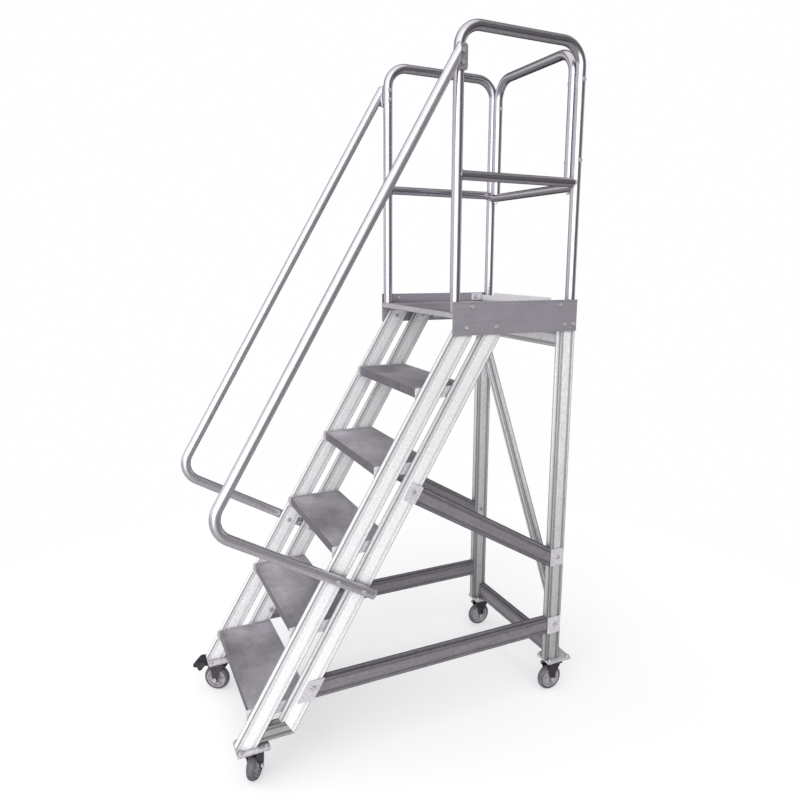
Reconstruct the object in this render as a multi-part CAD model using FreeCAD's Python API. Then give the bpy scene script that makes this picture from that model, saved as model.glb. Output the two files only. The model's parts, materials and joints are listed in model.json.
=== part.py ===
import FreeCAD, Part
import math
import os

# Rolling warehouse ladder: five treads and a platform on a welded and bolted aluminium
# frame, with a guard rail, two handrails and four swivel casters.
# Units are millimetres. X is the width, -Y is the climbing side, +Z is up, the floor is Z = 0.

V = FreeCAD.Vector
os.makedirs("parts", exist_ok=True)

# ---------------------------------------------------------------- driving dimensions
Y_CENTRE = -128.9        # working Y of the middle of the whole ladder, which moves to Y = 0
GAP = 0.3                # clearance kept between neighbouring parts

# frame extrusion
RAIL_W = 64.0            # wide side of the frame extrusion
RAIL_D = 28.0            # narrow side of the frame extrusion
RAIL_WALL = 2.6
GROOVE_NEAR = 6.0        # the wide faces' grooves lie between these distances from the edges
GROOVE_FAR = 18.0
GROOVE_DEPTH = 1.2
CHAMFER = 1.2
X_OUT = 292.7            # outer face of stringers, legs and base bars
X_IN = X_OUT - RAIL_D    # their inner face

# stringers
STRINGER_ANGLE = 59.45   # degrees above the floor
REF_Y = 3.0              # front edge of the front rail crosses this point
REF_Z = 1426.0
RAIL_GAP = 34.0          # open gap between the two rails of one stringer
RAIL_BOTTOM = 137.1
RAIL_TOP = 1474.0
TOE_Y = -749.5           # vertical cut on the toe of the front rail
FOOT_TOP = 200.0
FOOT_BOTTOM = 148.0

# treads
RISE = 250.0
TREAD_COUNT = 5
TREAD_1_Z = 252.5
TREAD_1_Y = -699.0       # front face of the lowest tread
TREAD_DEPTH = 198.0
TREAD_HALF = 261.0
LIP_H = 33.0

# platform
DECK_Z = 1502.0
PLATE_X0 = 293.0
PLATE_T = 4.0
PLATE_LEN = 503.0
PLATE_BOTTOM = 1426.0
PLATE_TOP = 1537.0

# rear legs and rear frame
LEG_Y0 = 438.0
LEG_Y1 = LEG_Y0 + RAIL_W
REAR_Y1 = 502.0
REAR_Y0 = REAR_Y1 - RAIL_D
BASE_Z0 = 254.0
BRACE_L0 = -550.0        # brace position along the stringer

# guard rail and handrails
TUBE_R = 17.0
TUBE_WALL = 2.0
BEND_R = 75.0
POST_X = 275.5
POST_FRONT_Y = 17.0
POST_REAR_Y = 486.0
GUARD_TOP = 2386.0
HOOP_X = 237.5
HOOP_TOP = 2376.0
MID_R = 15.5
MID_Z = 1937.0
REAR_MID_Z = 1925.0
HAND_X = 310.5
HAND_S = -430.0          # handrail run, measured square to the stringer
HAND_L = -871.0          # lower handrail leg, measured along the stringer
HAND_END_S = 173.0
HAND_ANGLE = 59.9        # slope of the handrail's long run, a little steeper than the stringer
MITRE_Y = -4.0           # upright line where the handrail's tube is pressed flat
TAB_T = 6.0
TAB_Z = 2282.0           # middle of the flat tab on the post
TAB_HALF = 39.0
TAB_Y1 = 36.0
TAB_BOLT = 17.0          # its bolts lie this far above and below the middle

# casters
WHEEL_R = 50.0
WHEEL_W = 28.0
TREAD_R = 39.5           # where the tyre's crown starts
HUB_R = 37.5
FORK_IN = 19.5           # inner face of the fork's legs, from the middle of the wheel
FORK_T = 3.0
PIN_AT = (40.0, 104.0)   # brake pivot: distance behind the kingpin, and height
TRAIL = 20.0
CASTER_X = 272.0
CASTER_FRONT_Y = -697.0
CASTER_REAR_Y = 495.0
CASTER_TOP = 132.5
CASTER_PLATE_T = 4.5
PLATE_HX = 38.0
PLATE_HY = 52.5
# name, x, y, trail heading in degrees (0 = +X, 90 = +Y), has a brake pedal
CASTERS = [
    ("front_right", CASTER_X, CASTER_FRONT_Y, 144.0, True),
    ("front_left", -CASTER_X, CASTER_FRONT_Y, -125.0, True),
    ("rear_right", CASTER_X, CASTER_REAR_Y, -90.0, False),
    ("rear_left", -CASTER_X, CASTER_REAR_Y, -90.0, False),
]

BOLT_R = 4.0
HOLE_R = 4.3
WASHER_R = 8.0
WASHER_T = 1.4
HEX_FLATS = 13.0         # across the flats of the 8 mm bolts' heads and nuts
HEAD_H = 5.2
NUT_H = 6.5
BOLT_TAIL = 12.0         # bolt length past the clamped parts

ANG = math.radians(STRINGER_ANGLE)
COT = math.cos(ANG) / math.sin(ANG)
ALONG = V(0, math.cos(ANG), math.sin(ANG))      # up the stringer
SQUARE = V(0, math.sin(ANG), -math.cos(ANG))    # square to it, towards the rear
RAIL_2 = RAIL_W + RAIL_GAP                      # front edge of the rear rail
RAIL_END = RAIL_2 + RAIL_W                      # back edge of the rear rail

parts = {}


# ---------------------------------------------------------------- helpers
def box(x0, x1, y0, y1, z0, z1):
    return Part.makeBox(x1 - x0, y1 - y0, z1 - z0, V(x0, y0, z0))


def cyl(base, direction, radius, length):
    return Part.makeCylinder(radius, length, base, direction)


def slope(s, l):
    """Point (0, y, z) at s square to the stringer and l along it."""
    p = V(0, REF_Y, REF_Z) + SQUARE * s + ALONG * l
    return p.y, p.z


def prism_x(points, x0, x1):
    """Polygon given as (y, z), extruded from x0 to x1."""
    wire = Part.makePolygon([V(x0, y, z) for y, z in points + points[:1]])
    return Part.Face(wire).extrude(V(x1 - x0, 0, 0))


def prism_y(points, y0, y1):
    """Polygon given as (x, z), extruded from y0 to y1."""
    wire = Part.makePolygon([V(x, y0, z) for x, z in points + points[:1]])
    return Part.Face(wire).extrude(V(0, y1 - y0, 0))


def mirror(shape):
    return shape.mirror(V(0, 0, 0), V(1, 0, 0))


def grooved_outline(w, d):
    """Outline of the frame extrusion: chamfered corners and shallow grooves."""
    c = CHAMFER
    g = GROOVE_DEPTH
    a = GROOVE_NEAR
    b = GROOVE_FAR
    m = d / 2.0
    return [
        (c, 0), (a, 0), (a + 1, g), (b - 1, g), (b, 0),
        (w - b, 0), (w - b + 1, g), (w - a - 1, g), (w - a, 0), (w - c, 0),
        (w, c), (w, m - 4), (w - g, m - 3), (w - g, m + 3), (w, m + 4), (w, d - c),
        (w - c, d), (w - a, d), (w - a - 1, d - g), (w - b + 1, d - g), (w - b, d),
        (b, d), (b - 1, d - g), (a + 1, d - g), (a, d), (c, d),
        (0, d - c), (0, m + 4), (g, m + 3), (g, m - 3), (0, m - 4), (0, c),
    ]


def extrusion(origin, wide, deep, along, length, w=RAIL_W, d=RAIL_D):
    """Hollow grooved extrusion; origin is the corner of the section."""
    def wire(points):
        pts = [origin + wide * u + deep * v for u, v in points]
        return Part.makePolygon(pts + pts[:1])
    t = RAIL_WALL + GROOVE_DEPTH
    outer = Part.Face(wire(grooved_outline(w, d))).extrude(along * length)
    inner = Part.Face(wire([(t, t), (w - t, t), (w - t, d - t), (t, d - t)]))
    return outer.cut(inner.extrude(along * length))


def tube(points, radius, wall, bend):
    """Hollow round tube through the points, with bends of the given radius."""
    edges = []
    last = points[0]
    for i in range(1, len(points) - 1):
        p = points[i]
        a = (points[i - 1] - p).normalize()
        b = (points[i + 1] - p).normalize()
        half = a.getAngle(b) / 2.0
        cut = bend / math.tan(half)
        p0 = p + a * cut
        p1 = p + b * cut
        centre = p + (a + b).normalize() * (bend / math.sin(half))
        mid = centre + (p - centre).normalize() * bend
        edges.append(Part.makeLine(last, p0))
        edges.append(Part.Arc(p0, mid, p1).toShape())
        last = p1
    edges.append(Part.makeLine(last, points[-1]))
    path = Part.Wire(edges)
    start = (points[1] - points[0]).normalize()

    def sweep(r):
        ring = Part.Wire([Part.makeCircle(r, points[0], start)])
        return path.makePipeShell([ring], True, False)
    return sweep(radius).cut(sweep(radius - wall))


def hexagon(centre, direction, flats, height):
    """Hexagonal prism, used for bolt heads and nuts."""
    radius = flats / math.sqrt(3.0)
    turn = FreeCAD.Rotation(V(0, 0, 1), direction)
    pts = []
    for k in range(7):
        a = math.radians(60.0 * k)
        pts.append(centre + turn.multVec(V(radius * math.cos(a), radius * math.sin(a), 0)))
    return Part.Face(Part.makePolygon(pts)).extrude(direction * height)


def bolt(head, direction, grip, spacer=None):
    """Hex bolt with washer and nut; head is the seat under the head, grip the clamped length."""
    shape = cyl(head, direction * -1, WASHER_R, WASHER_T)
    shape = shape.fuse(hexagon(head - direction * WASHER_T, direction * -1, HEX_FLATS, HEAD_H))
    shape = shape.fuse(cyl(head - direction * 3, direction, BOLT_R, grip + BOLT_TAIL))
    shape = shape.fuse(hexagon(head + direction * grip, direction, HEX_FLATS, NUT_H))
    if spacer:
        shape = shape.fuse(cyl(head + direction * spacer[0], direction, WASHER_R - 1, spacer[1]))
    return shape.removeSplitter()


def hole(head, direction, grip):
    return cyl(head - direction * 2, direction, HOLE_R, grip + 4.0)


def drill(names, cutter):
    for name in names:
        parts[name] = parts[name].cut(cutter)


# ---------------------------------------------------------------- stringers
def rail(s0, low, high):
    start = V(X_OUT, REF_Y, REF_Z) + SQUARE * s0 + ALONG * low
    return extrusion(start, SQUARE, V(-1, 0, 0), ALONG, high - low)


front = rail(0.0, -1600.0, 160.0)
front = front.common(box(0, 400, TOE_Y, 400, RAIL_BOTTOM, RAIL_TOP))

back_foot_y = REF_Y + RAIL_END / math.sin(ANG) - (REF_Z - FOOT_BOTTOM) * COT
mitre_run = (FOOT_TOP - FOOT_BOTTOM) / math.tan(math.radians(60.3))
rear = rail(RAIL_2, -1600.0, 160.0)
rear = rear.common(prism_x([
    (back_foot_y, FOOT_BOTTOM), (back_foot_y + 900, FOOT_BOTTOM), (back_foot_y + 900, RAIL_TOP),
    (back_foot_y - 100, RAIL_TOP), (back_foot_y - 100, FOOT_TOP + GAP),
    (back_foot_y - mitre_run, FOOT_TOP + GAP)], 0, 400))

front_back_y = REF_Y + RAIL_W / math.sin(ANG)
foot = extrusion(V(X_OUT, -700, FOOT_BOTTOM), V(0, 0, 1), V(-1, 0, 0), V(0, 1, 0), 160.0,
                 FOOT_TOP - FOOT_BOTTOM, RAIL_D)
foot = foot.common(prism_x([
    (front_back_y - (REF_Z - FOOT_BOTTOM) * COT + GAP, FOOT_BOTTOM),
    (back_foot_y - GAP, FOOT_BOTTOM),
    (back_foot_y - mitre_run - GAP, FOOT_TOP),
    (front_back_y - (REF_Z - FOOT_TOP) * COT + GAP, FOOT_TOP)], 0, 400))

parts["stringer_front_right"] = front
parts["stringer_rear_right"] = rear
parts["foot_rail_right"] = foot

# ---------------------------------------------------------------- treads and their brackets
def ribbed_panel(y0, y1, top, pitch, rib, rib_h, skin, webs, front_lip, rear_lip):
    """Section (y, z) of a ribbed panel with lips and stiffening webs below."""
    low = top - rib_h
    under = low - skin
    pts = [(y0, top - front_lip), (y0, top)]
    y = y0 + rib
    while y + pitch < y1:
        pts += [(y, top), (y, low), (y + pitch - rib, low), (y + pitch - rib, top)]
        y += pitch
    pts += [(y1, top), (y1, top - rear_lip), (y1 - 3, top - rear_lip), (y1 - 3, under)]
    for yw, depth in reversed(webs):
        pts += [(yw + 3, under), (yw + 3, top - depth), (yw, top - depth), (yw, under)]
    pts += [(y0 + 3, under), (y0 + 3, top - front_lip)]
    return pts


bracket_solids = []
for i in range(TREAD_COUNT):
    z = TREAD_1_Z + i * RISE
    y = TREAD_1_Y + i * RISE * COT
    section = ribbed_panel(y, y + TREAD_DEPTH, z, 8.0, 4.0, 1.2, 3.0,
                           [(y + 60, 28.0), (y + 130, 28.0)], LIP_H, 24.0)
    parts["tread_%d" % (i + 1)] = prism_x(section, -TREAD_HALF, TREAD_HALF)
    back_top = REF_Y + RAIL_END / math.sin(ANG) - (REF_Z - z) * COT - 3.0
    side = prism_x([(y - 10, z - 35), (y - 10, z + 1), (y - 6, z + 3), (back_top, z + 3),
                    (back_top - 38 * COT, z - 35)], TREAD_HALF + GAP, X_IN - GAP)
    ledge = prism_x([(y + 6, z - 35), (y + 6, z - 32), (y + 150, z - 32), (y + 150, z - 35)],
                    TREAD_HALF - 22, TREAD_HALF + 1)
    bracket_solids.append(side.fuse(ledge).removeSplitter())
parts["tread_brackets_right"] = Part.makeCompound(bracket_solids)

# ---------------------------------------------------------------- platform
parts["platform_deck"] = prism_x(ribbed_panel(
    8.0, PLATE_LEN, DECK_Z, 10.0, 5.0, 1.5, 3.0,
    [(100, 27.5), (200, 27.5), (300, 27.5), (400, 27.5)], 20.0, 27.5),
    -(PLATE_X0 - GAP), PLATE_X0 - GAP)
parts["platform_nosing"] = prism_x([
    (1.5, DECK_Z - 18), (1.5, DECK_Z - 2), (3.5, DECK_Z), (7.7, DECK_Z), (7.7, DECK_Z - 18),
    (6.2, DECK_Z - 18), (6.2, DECK_Z - 11), (4.2, DECK_Z - 11), (4.2, DECK_Z - 18)],
    -(PLATE_X0 - GAP), PLATE_X0 - GAP)

bearer = box(PLATE_X0 - 3.3, PLATE_X0 - GAP, 232, 430, 1436, RAIL_TOP)
bearer = bearer.fuse(box(X_IN, PLATE_X0 - GAP, 232, 430, RAIL_TOP - 3, RAIL_TOP)).removeSplitter()
parts["deck_bearers"] = Part.makeCompound([bearer, mirror(bearer)])

plate = prism_x([(0, PLATE_BOTTOM), (PLATE_LEN, PLATE_BOTTOM), (PLATE_LEN, PLATE_TOP),
                 (0, PLATE_TOP)], PLATE_X0, PLATE_X0 + PLATE_T)
lips = []
for z0, z1 in ((PLATE_BOTTOM, PLATE_BOTTOM + 5), (PLATE_TOP - 5, PLATE_TOP)):
    lips.append(box(PLATE_X0 + 1, PLATE_X0 + PLATE_T + 0.8, 0, PLATE_LEN, z0, z1))
plate = plate.multiFuse(lips).removeSplitter()
parts["side_plate_right"] = plate

toe = box(-290, 290, 462, 465, DECK_Z + 0.4, 1528)
toe = toe.fuse(box(-195, 195, 462, 465, 1520, 1539))
for side in (1, -1):
    x = side * (PLATE_X0 - GAP - 1.5)
    toe = toe.fuse(box(x - 1.5, x + 1.5, 412, 465, DECK_Z + 4, 1534))
parts["toe_board"] = toe.removeSplitter()

# ---------------------------------------------------------------- rear legs and rear frame
leg = extrusion(V(X_OUT, LEG_Y0, RAIL_BOTTOM), V(0, 1, 0), V(-1, 0, 0), V(0, 0, 1),
                RAIL_TOP - RAIL_BOTTOM)
parts["leg_right"] = leg

length = 2 * (X_IN - GAP)
for name, z0 in (("rear_beam", 1360.0), ("rear_crossbar", RAIL_BOTTOM)):
    parts[name] = extrusion(V(-length / 2, REAR_Y0, z0), V(0, 0, 1), V(0, 1, 0), V(1, 0, 0), length)

top_end = V(-X_IN, 0, 1260)
low_end = V(X_IN, 0, 344)
run = (low_end - top_end).normalize()
across = V(-run.z, 0, run.x)
start = top_end - run * 60 + across * -22 + V(0, 476, 0)
diagonal = extrusion(start, across, V(0, 1, 0), run, (low_end - top_end).Length + 120, 44.0, 25.0)
parts["rear_diagonal"] = diagonal.common(box(-length / 2, length / 2, 400, 600, 0, 1400))


def back_edge(z):
    return REF_Y + RAIL_END / math.sin(ANG) - (REF_Z - z) * COT


base_z1 = BASE_Z0 + RAIL_W
base = extrusion(V(X_OUT, -700, BASE_Z0), V(0, 0, 1), V(-1, 0, 0), V(0, 1, 0), 1200.0)
parts["base_bar_right"] = base.common(prism_x([
    (back_edge(BASE_Z0) + GAP, BASE_Z0), (LEG_Y0 - GAP, BASE_Z0), (LEG_Y0 - GAP, base_z1),
    (back_edge(base_z1) + GAP, base_z1)], 0, 400))

start = V(X_OUT, REF_Y, REF_Z) + ALONG * BRACE_L0 + SQUARE * (RAIL_END + GAP)
brace = extrusion(start, ALONG, V(-1, 0, 0), SQUARE, 900.0)
parts["brace_right"] = brace.common(box(0, 400, -400, LEG_Y0 - GAP, 300, 1200))

# cleats that tie the base bars and braces to rails and legs
cx0 = X_OUT + GAP
cx1 = cx0 + 3.0
cut_s0 = 120.0
cut_s1 = 168.0


def stringer_y(s, z):
    return REF_Y + s / math.sin(ANG) - (REF_Z - z) * COT


cleats = [
    prism_x([(stringer_y(cut_s0, 252), 252), (stringer_y(cut_s1, 252), 252),
             (stringer_y(cut_s1, 320), 320), (stringer_y(cut_s0, 320), 320)], cx0, cx1),
    prism_x([(LEG_Y0 + 2, 252), (LEG_Y1 - 3, 252), (LEG_Y1 - 3, 320), (LEG_Y0 + 2, 320)], cx0, cx1),
    prism_x([slope(cut_s0, BRACE_L0), slope(cut_s1, BRACE_L0),
             slope(cut_s1, BRACE_L0 + RAIL_W), slope(cut_s0, BRACE_L0 + RAIL_W)], cx0, cx1),
    prism_x([(LEG_Y0 + 2, 532), (LEG_Y1 - 3, 532), (LEG_Y1 - 3, 600), (LEG_Y0 + 2, 600)], cx0, cx1),
]
parts["joint_cleats"] = Part.makeCompound(cleats + [mirror(c) for c in cleats])

# ---------------------------------------------------------------- guard rail
x = POST_X
loop = tube([V(x, POST_FRONT_Y, DECK_Z + GAP), V(x, POST_FRONT_Y, GUARD_TOP),
             V(x, POST_REAR_Y, GUARD_TOP), V(x, POST_REAR_Y, DECK_Z + GAP)],
            TUBE_R, TUBE_WALL, BEND_R)
parts["guard_loop_right"] = loop

hoop_low = REAR_MID_Z + MID_R - 4
hoop = tube([V(-HOOP_X, POST_REAR_Y, hoop_low), V(-HOOP_X, POST_REAR_Y, HOOP_TOP),
             V(HOOP_X, POST_REAR_Y, HOOP_TOP), V(HOOP_X, POST_REAR_Y, hoop_low)],
            TUBE_R, TUBE_WALL, BEND_R)
cope = cyl(V(-400, POST_REAR_Y, REAR_MID_Z), V(1, 0, 0), MID_R + GAP, 800)
parts["rear_hoop"] = hoop.cut(cope)


def coped_tube(p0, p1, r0, r1):
    """Straight mid rail with its ends coped to two upright posts."""
    d = (p1 - p0).normalize()
    body = cyl(p0, d, MID_R, (p1 - p0).Length).cut(
        cyl(p0, d, MID_R - TUBE_WALL, (p1 - p0).Length))
    for p, r in ((p0, r0), (p1, r1)):
        body = body.cut(cyl(p - V(0, 0, 60), V(0, 0, 1), r, 120))
    return max(body.Solids, key=lambda s: s.Volume)


r = TUBE_R + GAP
parts["mid_rail_right"] = coped_tube(
    V(x, POST_FRONT_Y, MID_Z), V(x, POST_REAR_Y, MID_Z), r, r)
rear_mid = coped_tube(V(-x, POST_REAR_Y, REAR_MID_Z), V(x, POST_REAR_Y, REAR_MID_Z), r, r)
for side in (1, -1):
    side_rail = cyl(V(side * x, POST_FRONT_Y, MID_Z), V(0, 1, 0), MID_R + GAP,
                    POST_REAR_Y - POST_FRONT_Y)
    rear_mid = max(rear_mid.cut(side_rail).Solids, key=lambda s: s.Volume)
parts["mid_rail_rear"] = rear_mid

# ---------------------------------------------------------------- handrails
def hand_point(s, l):
    y, z = slope(s, l)
    return V(HAND_X, y, z)


HAND_RAD = math.radians(HAND_ANGLE)
RUN = V(0, math.cos(HAND_RAD), math.sin(HAND_RAD))
RUN_SQUARE = V(0, math.sin(HAND_RAD), -math.cos(HAND_RAD))
corner = hand_point(HAND_S, HAND_L)
mitre = corner + RUN * ((MITRE_Y - corner.y) / RUN.y)
tube_end = mitre - RUN * (TUBE_R * RUN_SQUARE.y / RUN.y + 2)
rail_tube = tube([hand_point(HAND_END_S, HAND_L), corner, tube_end], TUBE_R, TUBE_WALL, BEND_R)


def oval(centre, long_way, half_x, half_long):
    """Closed oval around a centre, half_x wide in X and half_long along a direction."""
    pts = []
    for k in range(24):
        a = math.radians(15.0 * k)
        pts.append(centre + V(half_x * math.cos(a), 0, 0) + long_way * (half_long * math.sin(a)))
    return Part.makePolygon(pts + pts[:1])


down = V(0, 0, -1)
tab_x0 = POST_X + TUBE_R + GAP
tab_centre = V(tab_x0 + TAB_T / 2, MITRE_Y + 7, TAB_Z)
neck = Part.makeLoft([
    oval(tube_end - RUN * 2, RUN_SQUARE, TUBE_R, TUBE_R),
    oval(tube_end, RUN_SQUARE, TUBE_R, TUBE_R),
    oval(mitre, down, TUBE_R, TUBE_R / RUN.y),
    oval(tab_centre, down, TAB_T / 2, TAB_HALF - 2),
], True, True)
tab = prism_x([
    (tab_centre.y - 2, TAB_Z - TAB_HALF + 3), (tab_centre.y + 1, TAB_Z - TAB_HALF),
    (TAB_Y1 - 6, TAB_Z - TAB_HALF), (TAB_Y1, TAB_Z - TAB_HALF + 6),
    (TAB_Y1, TAB_Z + TAB_HALF - 6), (TAB_Y1 - 6, TAB_Z + TAB_HALF),
    (tab_centre.y + 1, TAB_Z + TAB_HALF), (tab_centre.y - 2, TAB_Z + TAB_HALF - 3)],
    tab_x0, tab_x0 + TAB_T)
plug = cyl(hand_point(HAND_END_S, HAND_L), SQUARE, TUBE_R + 0.8, 5.0)
plug = plug.fuse(cyl(hand_point(HAND_END_S - 12, HAND_L), SQUARE, TUBE_R - TUBE_WALL, 13.0))
handrail = rail_tube.multiFuse([neck, tab, plug]).removeSplitter()
parts["handrail_right"] = handrail

# ---------------------------------------------------------------- mirror the right-hand parts
for name in list(parts):
    if name.endswith("_right"):
        parts[name.replace("_right", "_left")] = mirror(parts[name])

# ---------------------------------------------------------------- frame bolts
frame_bolts = []


def frame_bolt(head, direction, grip, names, spacer=None):
    frame_bolts.append(bolt(head, direction, grip, spacer))
    drill(names, hole(head, direction, grip))


rail_bolt = slope(145.0, -1228.0)
brace_bolt = slope(140.0, -515.0)
for side, tag in ((1, "right"), (-1, "left")):
    inward = V(-side, 0, 0)
    outer = side * (PLATE_X0 + PLATE_T)
    through = PLATE_X0 + PLATE_T - X_IN
    plate_name = "side_plate_" + tag
    for y, other in ((52, "stringer_front_"), (168, "stringer_rear_"), (452, "leg_"), (490, "leg_")):
        frame_bolt(V(outer, y, 1452), inward, through, [plate_name, other + tag])
    frame_bolt(V(outer, 72, 1521), inward, PLATE_T, [plate_name])
    frame_bolt(V(outer, 430, 1521), inward, PLATE_T + 3.3, [plate_name, "toe_board"])
    cleat = side * cx1
    through = cx1 - X_IN
    for (y, z), other in ((rail_bolt, "stringer_rear_"), (brace_bolt, "stringer_rear_"),
                          ((470, 288), "leg_"), ((470, 565), "leg_")):
        frame_bolt(V(cleat, y, z), inward, through, ["joint_cleats", other + tag])
    hand = side * (HAND_X + TUBE_R)
    through = HAND_X + TUBE_R - X_IN
    for s, other in ((30, "stringer_front_"), (130, "stringer_rear_")):
        y, z = slope(s, HAND_L)
        frame_bolt(V(hand, y, z), inward, through, ["handrail_" + tag, other + tag])
    for z in (TAB_Z - TAB_BOLT, TAB_Z + TAB_BOLT):
        frame_bolt(V(side * (tab_x0 + TAB_T), POST_FRONT_Y, z), inward,
                   tab_x0 + TAB_T - POST_X + TUBE_R, ["handrail_" + tag, "guard_loop_" + tag])
    hoop_gap = POST_X - HOOP_X - 2 * TUBE_R
    for z in (2010, 2270):
        frame_bolt(V(side * (POST_X + TUBE_R), POST_REAR_Y, z), inward,
                   POST_X - HOOP_X + 2 * TUBE_R, ["guard_loop_" + tag, "rear_hoop"],
                   (2 * TUBE_R + 0.2, hoop_gap - 0.4))
    frame_bolt(V(side * HOOP_X, POST_REAR_Y, REAR_MID_Z + MID_R), V(0, 0, -1),
               2 * MID_R, ["mid_rail_rear"])
parts["frame_bolts"] = Part.makeCompound(frame_bolts)

# ---------------------------------------------------------------- casters
foot_plates = []
caster_plates = []
kingpins = []
caster_bolts = []
plate_low = CASTER_TOP - CASTER_PLATE_T
foot_low = CASTER_TOP + GAP
foot_high = foot_low + 4.0
CROWN_Z = 108.5
for tag, cx, cy, heading, braked in CASTERS:
    caster_plate = box(cx - PLATE_HX, cx + PLATE_HX, cy - PLATE_HY, cy + PLATE_HY,
                       plate_low, CASTER_TOP)
    race = cyl(V(cx, cy, plate_low - 5), V(0, 0, 1), 24.0, 5.5)
    caster_plate = caster_plate.fuse(race)
    foot_plate = box(cx - PLATE_HX, cx + PLATE_HX, cy - PLATE_HY, cy + PLATE_HY,
                     foot_low, foot_high)
    pin_hole = cyl(V(cx, cy, 90), V(0, 0, 1), 6.1, 100)
    caster_plate = caster_plate.cut(pin_hole)
    for dx in (-30, 30):
        for dy in (-42, 42):
            p = V(cx + dx, cy + dy, plate_low)
            up = V(0, 0, 1)
            grip = foot_high - plate_low
            shape = cyl(p, up * -1, 7.5, 1.8)
            shape = shape.fuse(cyl(p - up, up, BOLT_R, grip + 10))
            shape = shape.fuse(hexagon(p + up * grip, up, HEX_FLATS, NUT_H))
            caster_bolts.append(shape.removeSplitter())
            caster_plate = caster_plate.cut(hole(p, up, grip))
            foot_plate = foot_plate.cut(hole(p, up, grip))
    foot_plates.append(foot_plate)
    caster_plates.append(caster_plate)
    pin = cyl(V(cx, cy, CROWN_Z - 4.5), V(0, 0, 1), 9.0, 4.0)
    pin = pin.fuse(cyl(V(cx, cy, CROWN_Z - 1), V(0, 0, 1), 6.0, CASTER_TOP - CROWN_Z + 1))
    kingpins.append(pin.removeSplitter())

    # fork, built along a local trail direction t and axle direction n, then turned
    def place(shape):
        shape = shape.copy()
        shape.rotate(V(0, 0, 0), V(0, 0, 1), heading)
        shape.translate(V(cx, cy, 0))
        return shape

    crown = prism_y([(-26, CROWN_Z), (34, CROWN_Z), (34, CROWN_Z + 4), (-26, CROWN_Z + 4)],
                    -FORK_IN - FORK_T, FORK_IN + FORK_T)
    ball_cup = cyl(V(0, 0, CROWN_Z + 3), V(0, 0, 1), 26.0, plate_low - 5 - CROWN_Z - 3 - GAP)
    leg_plate = [(-14, CROWN_Z + 4), (34, CROWN_Z + 4), (46, 110), (46, 99), (38, 92), (33, 74),
                 (31, 44), (26, 38), (14, 38), (9, 44), (4, 74), (-7, 94), (-14, 104)]
    fork = crown.fuse(ball_cup)
    for n0 in (-FORK_IN - FORK_T, FORK_IN):
        fork = fork.fuse(prism_y(leg_plate, n0, n0 + FORK_T))
    fork = fork.cut(cyl(V(0, 0, 90), V(0, 0, 1), 6.1, 60))
    fork = fork.cut(cyl(V(TRAIL, -40, WHEEL_R), V(0, 1, 0), 5.2, 80))
    fork = fork.cut(cyl(V(PIN_AT[0], -40, PIN_AT[1]), V(0, 1, 0), 3.05, 80))
    parts["fork_" + tag] = place(fork.removeSplitter())

    axle_at = V(TRAIL, -22.6, WHEEL_R)
    n = V(0, 1, 0)
    axle = hexagon(axle_at, n * -1, 16.0, 5.5)
    axle = axle.fuse(cyl(axle_at - n, n, 5.0, 54.0)).fuse(hexagon(axle_at + n * 45.2, n, 16.0, 6.5))
    parts["axle_" + tag] = place(axle.removeSplitter())

    hub_at = V(TRAIL, 0, WHEEL_R)
    hub = cyl(hub_at - n * 10, n, HUB_R, 20.0)
    for y0, sign in ((-10, -1), (10, 1)):
        base = hub_at + n * y0
        hub = hub.cut(cyl(base - n * (sign * 4.0), n * sign, 31.0, 10.0).cut(
            cyl(base - n * (sign * 4.0), n * sign, 14.0, 10.0)))
        hub = hub.fuse(cyl(hub_at, n * sign, 12.0, 18.8))
        rim = cyl(hub_at, n * sign, HUB_R, 12.5).cut(cyl(hub_at, n * sign, 32.0, 12.5))
        hub = hub.fuse(rim)
    hub = hub.cut(cyl(hub_at - n * 30, n, 5.05, 60.0))
    parts["hub_" + tag] = place(hub.removeSplitter())

    # tyre: flat sides up to TREAD_R, then half an ellipse for its crown
    half = WHEEL_W / 2
    section = [(HUB_R + 0.1, half - 2), (TREAD_R - 1, half)]
    for k in range(13):
        a = math.radians(15.0 * k)
        section.append((TREAD_R + (WHEEL_R - TREAD_R) * math.sin(a), half * math.cos(a)))
    section += [(TREAD_R - 1, -half), (HUB_R + 0.1, 2 - half)]
    pts = [V(TRAIL, v, WHEEL_R + u) for u, v in section]
    tyre = Part.Face(Part.makePolygon(pts + pts[:1])).revolve(hub_at, n, 360)
    parts["tyre_" + tag] = place(tyre)

    if braked:
        arm = [(33, 101), (33, 106), (37, 112), (46, 116), (60, 121), (84, 124), (98, 119),
               (106, 110), (107, 100), (100, 95), (95, 88), (92, 79), (85, 76), (78, 80),
               (75, 89), (70, 97), (60, 102), (47, 100), (42, 98.5)]
        wide = [(57, 120), (60, 121), (84, 124), (98, 119), (106, 110), (107, 100), (100, 95),
                (88, 99), (72, 100), (60, 105)]
        pedal = prism_y(arm, -16.0, 16.0).fuse(prism_y(wide, -26.0, 26.0))
        pedal = pedal.fuse(cyl(V(PIN_AT[0], -24.5, PIN_AT[1]), n, 3.0, 49.0))
        parts["pedal_" + tag] = place(pedal.removeSplitter())

parts["foot_plates"] = Part.makeCompound(foot_plates)
parts["caster_plates"] = Part.makeCompound(caster_plates)
parts["caster_kingpins"] = Part.makeCompound(kingpins)
parts["caster_bolts"] = Part.makeCompound(caster_bolts)

# ---------------------------------------------------------------- move to the frame and export
for name, shape in sorted(parts.items()):
    shape = shape.copy()
    shape.translate(V(0, -Y_CENTRE, 0))
    if not shape.isValid():
        print("not valid:", name)
    shape.exportStep("parts/%s.step" % name)
    print("%-24s solids %2d  volume %9.0f" % (name, len(shape.Solids), shape.Volume))
print("nodes", len(parts))
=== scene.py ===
"""Looks of the rolling warehouse ladder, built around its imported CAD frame. Metres, +Z up."""
import json
import math
import bmesh
import bpy
from mathutils import Matrix, Vector


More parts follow.
